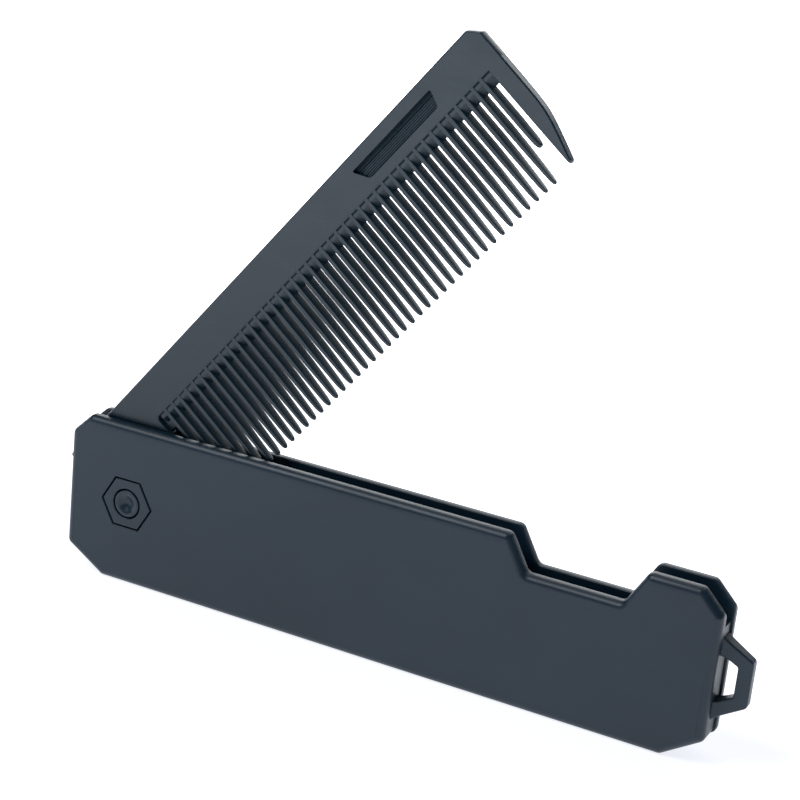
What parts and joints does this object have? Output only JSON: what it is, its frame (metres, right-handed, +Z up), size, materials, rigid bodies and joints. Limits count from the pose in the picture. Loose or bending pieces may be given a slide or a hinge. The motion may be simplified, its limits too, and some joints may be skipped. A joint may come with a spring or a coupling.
{
  "type": "folding comb",
  "caption": "Pocket comb that folds into a slotted plastic handle with a lanyard loop, shown half open on its closed edge.",
  "frame": {"origin": "centre of the handle's closed bottom edge, which the comb stands on", "axes": "+X along the handle from the pin end to the loop end, +Y from the nut's side to the back plate, +Z up"},
  "size_m": [0.1297, 0.0076, 0.1083],
  "materials": {
    "front_plastic": "satin slate grey",
    "back_plastic": "satin slate grey",
    "nut_plastic": "satin slate grey",
    "pin_plastic": "satin slate grey",
    "comb_plastic": "satin grey"
  },
  "bodies": {
    "handle": {"front_shell": "front_plastic", "back_plate": "back_plastic", "hex_nut": "nut_plastic", "pivot_pin": "pin_plastic"},
    "comb": {"comb": "comb_plastic"}
  },
  "joints": [
    {"name": "comb_hinge", "type": "hinge", "parent": "handle", "child": "comb", "pos_m": [-0.0489, 0, 0.0154], "axis": [0, -1, 0], "range_deg": [-51.76, 128.24]}
  ]
}
